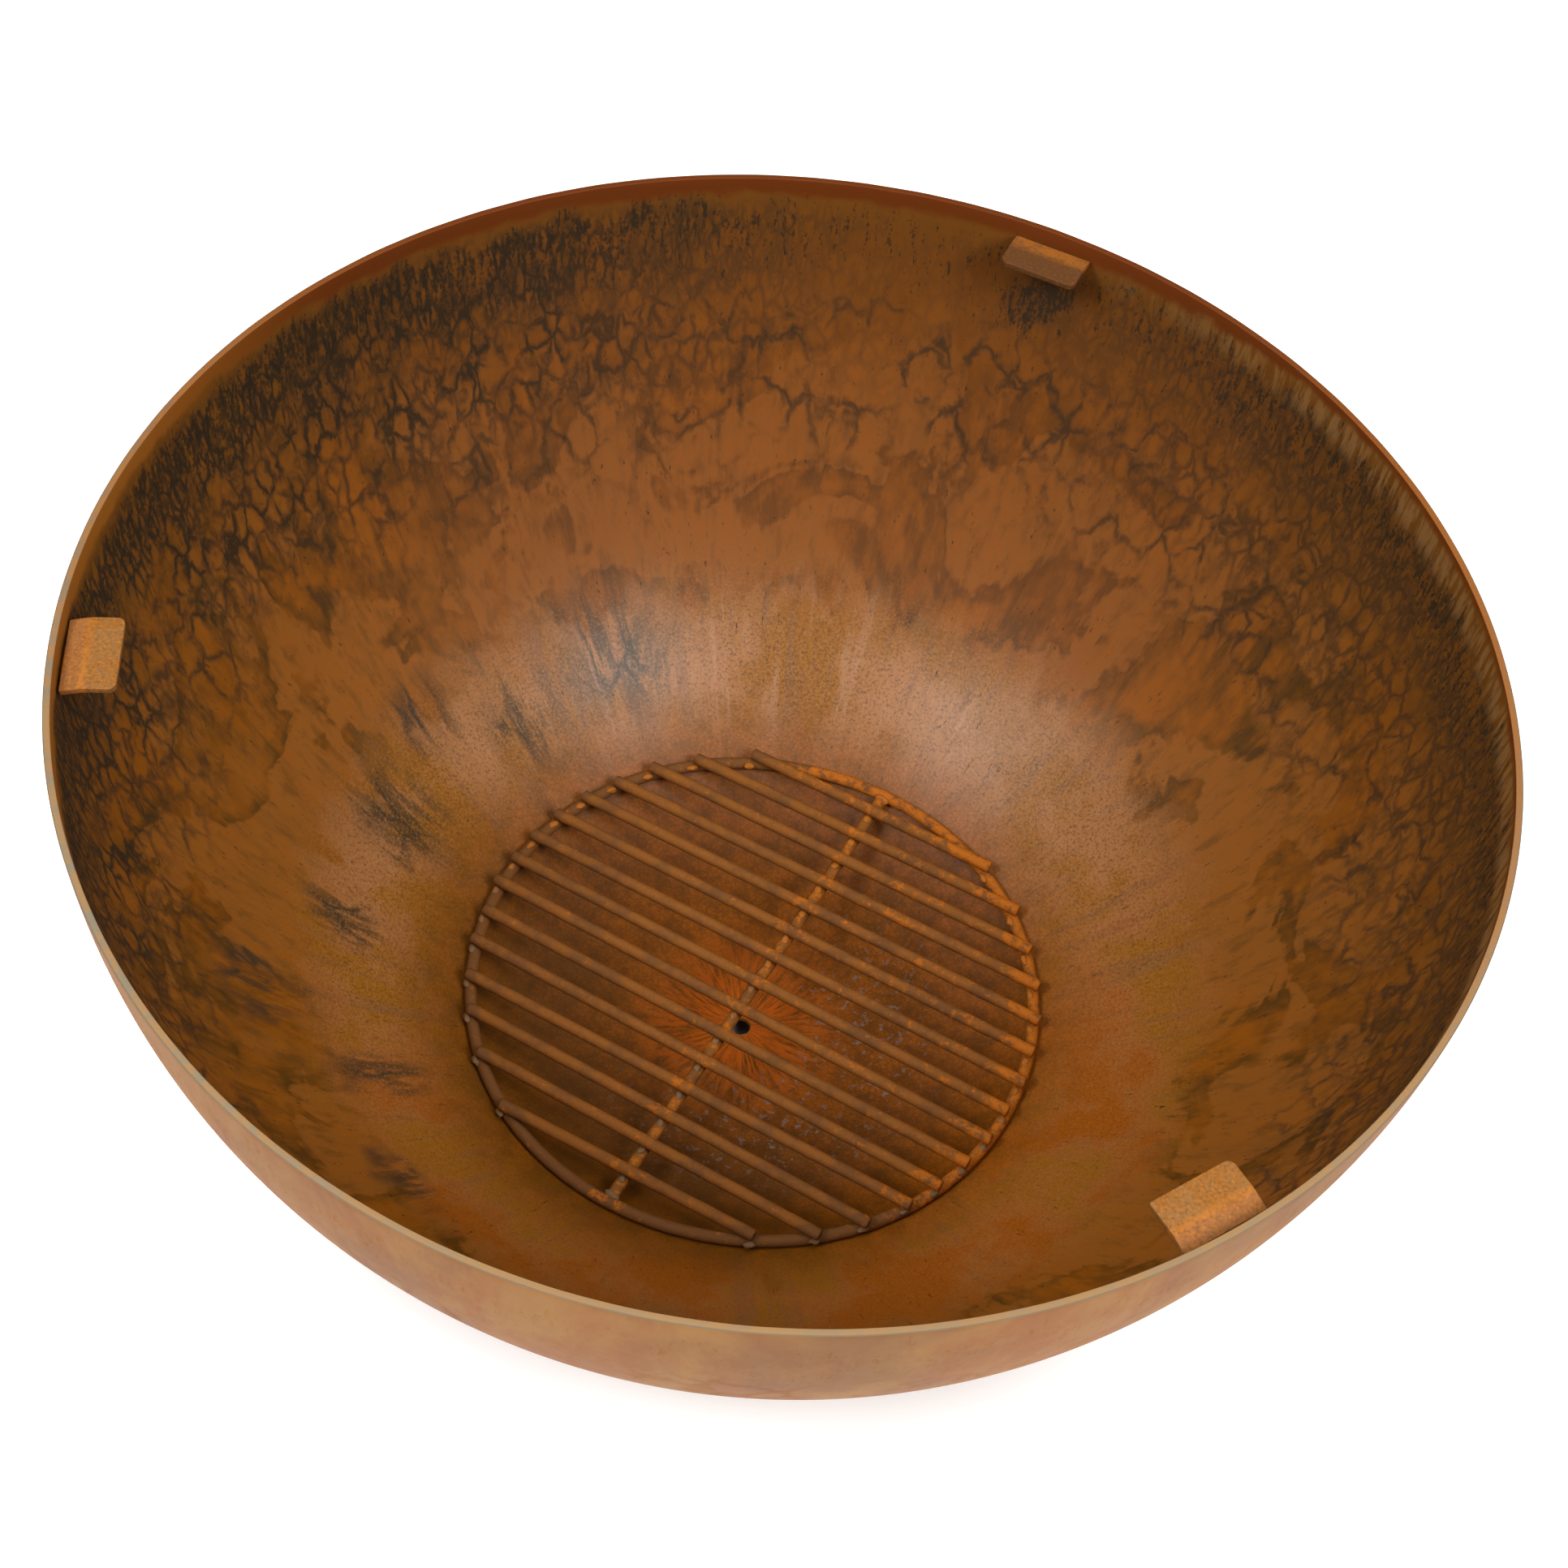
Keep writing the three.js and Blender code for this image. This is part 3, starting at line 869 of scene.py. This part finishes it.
def make_base_bead(material):
    segments = BASE_BEAD_RIPPLES * 6
    angles = np.arange(segments) * 2 * math.pi / segments
    phase = (angles * BASE_BEAD_RIPPLES / (2 * math.pi)) % 1
    size = BASE_BEAD * (0.93 + 0.05 * np.sqrt(phase) + 0.02 * np.cos(angles * 31))
    rows = [bead_row(a, BASE_BEAD_RADIUS, BASE_BEAD_Z, s, 12) for a, s in zip(angles, size)]
    bead = skin(rows, looped=True)
    make_piece("base_bead", [bead], material, "bowl", ["base_ring_weld"])


# -------------------- support tabs

def tab_path():
    """(distance from the free edge, outward place, height, lean) along the middle of the bar,
    and its whole length. The points are closest at the rounded corners of the free edge."""
    middle = TAB_BEND - TAB_BAR / 2
    shelf = TAB_KNEE - TAB_BEND * math.tan(TAB_SLOPE / 2) - TAB_FREE
    bend = middle * TAB_SLOPE
    bend_out = TAB_FREE + shelf + middle * math.sin(TAB_SLOPE)
    bend_z = TAB_TOP - TAB_BEND + middle * math.cos(TAB_SLOPE)
    end_out = TAB_OUTER - TAB_BAR / 2 * math.sin(TAB_SLOPE)
    slope = (end_out - bend_out) / math.cos(TAB_SLOPE)
    stops = [0, 0.05, 0.15, 0.3, 0.6, 1.0, 1.5, 2.2, 3.0, 3.8, 4.6, 6]
    stops = [s * MM for s in stops]
    stops += list(np.linspace(8 * MM, shelf, 7))
    stops += list(shelf + np.linspace(0, bend, 9)[1:])
    stops += list(shelf + bend + np.linspace(0, slope - TAB_EDGE, 8)[1:])
    stops += [shelf + bend + slope - TAB_EDGE * (1 - share) for share in (0.5, 0.8, 0.95, 1.0)]
    path = []
    for s in stops:
        if s <= shelf:
            path.append((s, TAB_FREE + s, TAB_TOP - TAB_BAR / 2, 0.0))
        elif s <= shelf + bend:
            lean = (s - shelf) / middle
            out = TAB_FREE + shelf + middle * math.sin(lean)
            path.append((s, out, TAB_TOP - TAB_BEND + middle * math.cos(lean), lean))
        else:
            on = s - shelf - bend
            out = bend_out + on * math.cos(TAB_SLOPE)
            path.append((s, out, bend_z - on * math.sin(TAB_SLOPE), TAB_SLOPE))
    return path, shelf + bend + slope


def rounding(distance, radius):
    """How far a rounded corner stands back from its edge, at a distance from the corner's end."""
    if distance >= radius:
        return 0.0
    return radius - math.sqrt(radius ** 2 - (radius - distance) ** 2)


def tab_section(left, right, thick):
    """Rounded section of the bar, with points along its top and bottom for the ripple."""
    high, low = thick - TAB_EDGE, TAB_EDGE - thick
    near, far = right - TAB_EDGE, TAB_EDGE - left
    corners = ((near, high, 0), (far, high, 90), (far, low, 180), (near, low, 270))
    section = rounded(corners, TAB_EDGE)
    top_start, bottom_start = 3, 11
    pieces = 20
    points = []
    for i, (y, n) in enumerate(section):
        points.append((y, n))
        if i in (top_start, bottom_start):
            next_y, next_n = section[i + 1]
            for k in range(1, pieces):
                share = k / pieces
                points.append((y + (next_y - y) * share, n + (next_n - n) * share))
    return points


def tab_part(degrees, corners, seed):
    path, total = tab_path()
    half = TAB_WIDTH / 2
    rows = []
    for s, out, z, lean in path:
        thin = rounding(min(s, total - s), TAB_EDGE)
        left = half - rounding(s, corners[0] * MM) - thin
        right = half - rounding(s, corners[1] * MM) - thin
        section = tab_section(left, right, TAB_BAR / 2 - thin)
        rows.append([(out + n * math.sin(lean), y, z + n * math.cos(lean)) for y, n in section])
    rows = np.array(rows)
    rows[..., 2] -= 0.12 * MM * (1 + np.clip(ripple(rows, 14 * MM, seed), -1, 1)) / 2
    cos, sin, _ = heading(degrees)
    x = rows[..., 0] * cos - rows[..., 1] * sin
    y = rows[..., 0] * sin + rows[..., 1] * cos
    return skin(np.stack([x, y, rows[..., 2]], axis=-1))


def tab_bead_part(degrees, seed):
    """A rippled bead under the outer end of a tab, in the corner with the bowl's wall."""
    rng = np.random.default_rng(seed)
    half = (TAB_WIDTH / 2 - 3 * MM) / TAB_BEAD_RADIUS
    rows = []
    count, ripples = 90, 13
    for i in range(count + 1):
        share = i / count
        angle = math.radians(degrees) - half + 2 * half * share
        taper = math.sqrt(max(0.02, 1 - (2 * share - 1) ** 12))
        size = TAB_BEAD * taper * (0.9 + 0.1 * (share * ripples % 1) + 0.03 * rng.normal())
        rows.append(bead_row(angle, TAB_BEAD_RADIUS, TAB_BEAD_Z, size, 14))
    return skin(rows)


def make_tabs(material, weld):
    for i, (degrees, corners) in enumerate(zip(TAB_ANGLES, TAB_CORNERS), 1):
        part = tab_part(degrees, corners, 20 + i)
        make_piece(f"tab_{i}", [part], material, "bowl", [f"support_tab_{i}"])
        bead = tab_bead_part(degrees, 30 + i)
        make_piece(f"tab_bead_{i}", [bead], weld, "bowl", [f"tab_weld_{i}"])


# -------------------- grate

def ring_radius(angle):
    """The hand-rolled ring is a little out of round."""
    return RING_RADIUS - RING_LOBE * (0.5 + 0.5 * np.cos(4 * angle + 0.6))


def bar_rows(centres, radii, turns, sides, seed):
    """Rows of a scaly bar through centres, level, with the direction of each row in turns."""
    cos, sin = circle(sides)
    up = np.array([0.0, 0.0, 1.0])
    rows = []
    for centre, radius, turn in zip(centres, radii, turns):
        side = np.array([-math.sin(turn), math.cos(turn), 0.0])
        rows.append(centre + radius * (cos[:, None] * side + sin[:, None] * up))
    rows = np.array(rows)
    scaly = 1 + 0.02 * np.clip(ripple(rows, 9 * MM, seed), -1, 1)[..., None]
    middle = rows.mean(axis=1, keepdims=True)
    return middle + (rows - middle) * scaly * BAR_SHRINK


def make_ring(material):
    segments = 480
    angles = np.arange(segments) * 2 * math.pi / segments
    radius = ring_radius(angles)
    centres = np.stack(
        [radius * np.cos(angles), radius * np.sin(angles), np.full(segments, RING_Z)], axis=-1
    )
    rows = bar_rows(centres, np.full(segments, BAR), angles + math.pi / 2, 20, 41)
    part = skin(rows, looped=True)
    make_piece("ring", [part], material, "grate", ["grate_ring"])


def bar_part(start, end, seed):
    """A straight cut bar with a small chamfer at both ends."""
    start, end = np.array(start), np.array(end)
    length = np.linalg.norm(end - start)
    turn = math.atan2(end[1] - start[1], end[0] - start[0])
    step = 0.3 * MM
    inner = np.linspace(BAR_CHAMFER, length - BAR_CHAMFER, 110)
    places = np.concatenate([[0, step], inner, [length - step, length]])
    radii = np.full(len(places), BAR)
    radii[[0, -1]] = BAR - BAR_CHAMFER
    radii[[1, -2]] = BAR - step
    centres = start + (end - start) * (places / length)[:, None]
    return skin(bar_rows(centres, radii, [turn] * len(places), 18, seed))


def rod_line(index):
    """Start and end of a rod: index 0 is the front rod, and each is turned a little."""
    offset = (index - MIDDLE_ROD) * ROD_PITCH
    rng = np.random.default_rng(60 + index)
    turn = math.radians(ROD_SKEWS[index])
    direction = ALONG * math.cos(turn) + ACROSS * math.sin(turn)
    half = math.sqrt(ROD_REACH ** 2 - offset ** 2)
    middle = ACROSS * offset + Vector((0, 0, ROD_Z))
    left = middle - direction * (half + rng.uniform(-1.5, 1.0) * MM)
    right = middle + direction * (half + rng.uniform(-1.5, 1.0) * MM)
    return left, right


def blob(centre, along, sizes, seed):
    """A small lump of weld metal: an uneven rounded pat, with its sizes in millimetres."""
    rng = np.random.default_rng(seed)
    rings, sides = 9, 14
    along = np.array(along) / np.linalg.norm(along)
    up = np.array([0.0, 0.0, 1.0])
    side = np.cross(up, along)
    cos, sin = circle(sides)
    rows = []
    for i in range(rings):
        polar = math.pi * (i + 0.5) / rings
        reach = math.sin(polar)
        rows.append(np.stack([np.full(sides, math.cos(polar)), reach * cos, reach * sin], axis=-1))
    rows = np.array(rows)
    rows *= 1 + 0.16 * np.clip(ripple(rows, 1.3, rng.integers(1000)), -1, 1)[..., None]
    rows *= np.array(sizes) * MM
    placed = rows[..., :1] * along + rows[..., 1:2] * side + rows[..., 2:] * up
    return skin(placed + np.array(centre))


def end_tack(end, seed):
    """The tack between the ring and one end of a rod, on the rod's front side."""
    angle = math.atan2(end.y, end.x)
    radius = ring_radius(angle)
    on_ring = Vector((radius * math.cos(angle), radius * math.sin(angle), RING_Z))
    tangent = Vector((-math.sin(angle), math.cos(angle), 0))
    place = on_ring - ACROSS * 5.0 * MM + Vector((0, 0, 3.2 * MM))
    return blob(place, tangent, (3.6, 2.2, 1.9), seed)


def crossing_tack(left, right, seed):
    """The tack between the cross bar and the middle of a rod, on the rod's front side."""
    crossing = ACROSS * ((left + right) / 2).dot(ACROSS)
    place = crossing - ACROSS * 4.6 * MM + Vector((0, 0, RING_Z + 3.6 * MM))
    return blob(place, ACROSS, (3.2, 2.4, 1.8), seed)


def make_grate(material, weld):
    make_ring(material)
    reach = ring_radius(math.atan2(ACROSS.y, ACROSS.x)) - BAR
    low = Vector((0, 0, RING_Z))
    cross = bar_part(low - ACROSS * reach, low + ACROSS * reach, 42)
    make_piece("cross_bar", [cross], material, "grate", ["grate_cross_bar"])

    end_tacks, cross_tacks = [], []
    for index in range(len(ROD_SKEWS)):
        left, right = rod_line(index)
        rod = bar_part(left, right, 70 + index)
        number = f"{index + 1:02d}"
        make_piece(f"rod_{number}", [rod], material, "grate", [f"grate_rod_{number}"])
        end_tacks.append(end_tack(left, 100 + 2 * index))
        end_tacks.append(end_tack(right, 101 + 2 * index))
        cross_tacks.append(crossing_tack(left, right, 140 + index))
    for k, sign in enumerate((-1, 1)):
        place = ACROSS * sign * (reach - 0.5 * MM) + Vector((0, 0, RING_Z + 1.5 * MM))
        cross_tacks.append(blob(place, ALONG, (5.0, 3.0, 2.6), 160 + k))
    make_piece("rod_end_tacks", end_tacks, weld, "grate")
    make_piece("cross_bar_tacks", cross_tacks, weld, "grate")


# -------------------- studio

def make_studio():
    """A white floor under a white sky, with three disk lights."""
    add_ground(radius=9, sides=64)
    add_sky(light=0.14, seen=1.0)
    add_softbox("softbox_above", 90, 84, distance=3.2, size=2.6, power=42, highlights=False)
    add_softbox("softbox_right", -42, 47, distance=3.4, size=1.6, power=80)
    add_softbox("softbox_left", -146, 48, distance=3.4, size=1.2, power=66)


def add_ground(radius, sides):
    cos, sin = circle(sides)
    points = [(radius * c, radius * s, 0.0) for c, s in zip(cos, sin)]
    mesh = bpy.data.meshes.new("studio_floor")
    mesh.from_pydata(points, [], [tuple(range(sides))])
    mesh.materials.append(floor_material())
    ground = bpy.data.objects.new("studio_floor", mesh)
    bpy.context.scene.collection.objects.link(ground)


def add_sky(light, seen):
    """White, with one strength where it lights the scene and another where the camera sees it."""
    world = bpy.data.worlds.new("studio")
    bpy.context.scene.world = world
    world.use_nodes = True
    background = world.node_tree.nodes["Background"]
    background.inputs["Color"].default_value = (1.0, 1.0, 1.0, 1.0)
    rays = world.node_tree.nodes.new("ShaderNodeLightPath")
    strength = world.node_tree.nodes.new("ShaderNodeMapRange")
    strength.inputs["To Min"].default_value = light
    strength.inputs["To Max"].default_value = seen
    world.node_tree.links.new(rays.outputs["Is Camera Ray"], strength.inputs["Value"])
    world.node_tree.links.new(strength.outputs["Result"], background.inputs["Strength"])
    world.cycles_visibility.glossy = False


def add_softbox(name, azimuth, elevation, distance, size, power, highlights=True):
    """A disk light that faces a point low in the bowl. Angles in degrees."""
    light = bpy.data.lights.new(name, "AREA")
    light.shape = "DISK"
    light.size = size
    light.energy = power
    lamp = bpy.data.objects.new(name, light)
    a, e = math.radians(azimuth), math.radians(elevation)
    towards = Vector((math.cos(a) * math.cos(e), math.sin(a) * math.cos(e), math.sin(e)))
    aim = Vector((0, 0, 0.2))
    lamp.location = towards * distance + aim
    lamp.rotation_mode = "QUATERNION"
    lamp.rotation_quaternion = towards.to_track_quat("Z", "Y")
    lamp.visible_camera = False
    lamp.visible_glossy = highlights
    bpy.context.scene.collection.objects.link(lamp)


CAMERA_LENS = 61.13
CAMERA_DISTANCE = 1.45466
CAMERA_ELEVATION = math.radians(50.037)
CAMERA_PAN = math.radians(-0.0964)
CAMERA_TILT = math.radians(-2.6841)
CAMERA_ROLL = math.radians(-7.1530)


def make_camera():
    """Looks down at the middle of the open edge from the front, with a small roll."""
    back = Vector((0, -math.cos(CAMERA_ELEVATION), math.sin(CAMERA_ELEVATION)))
    right = Vector((1, 0, 0))
    up = back.cross(right)
    forward = -back
    pan = Matrix.Rotation(CAMERA_PAN, 3, up)
    forward, right = pan @ forward, pan @ right
    tilt = Matrix.Rotation(CAMERA_TILT, 3, right)
    forward, up = tilt @ forward, tilt @ up
    roll = Matrix.Rotation(CAMERA_ROLL, 3, forward)
    right, up = roll @ right, roll @ up
    data = bpy.data.cameras.new("camera")
    data.lens = CAMERA_LENS
    data.sensor_width = 36
    data.clip_start = 0.05
    data.clip_end = 50
    camera = bpy.data.objects.new("camera", data)
    axes = Matrix((right, up, -forward)).transposed()
    place = Vector((0, 0, RIM_Z)) + back * CAMERA_DISTANCE
    camera.matrix_world = Matrix.Translation(place) @ axes.to_4x4()
    bpy.context.scene.collection.objects.link(camera)
    bpy.context.scene.camera = camera


# -------------------- build

bpy.context.scene.view_settings.view_transform = "Standard"

bowl_rust = bowl_material()
base_rust = rust_material("base_rust", BASE_DARK, BASE_MAIN, BASE_BRIGHT, 40.0, 0.4)
tab_rust = tab_material()
grate_rust = grate_material()
tack_rust = tack_material()
weld_rust = rust_material("weld_rust", WELD_DARK, WELD_MAIN, WELD_BRIGHT, 160.0, 0.6)

make_bowl(bowl_rust)
make_base_band(base_rust)
make_base_bead(weld_rust)
make_tabs(tab_rust, weld_rust)
make_grate(grate_rust, tack_rust)
make_studio()
make_camera()
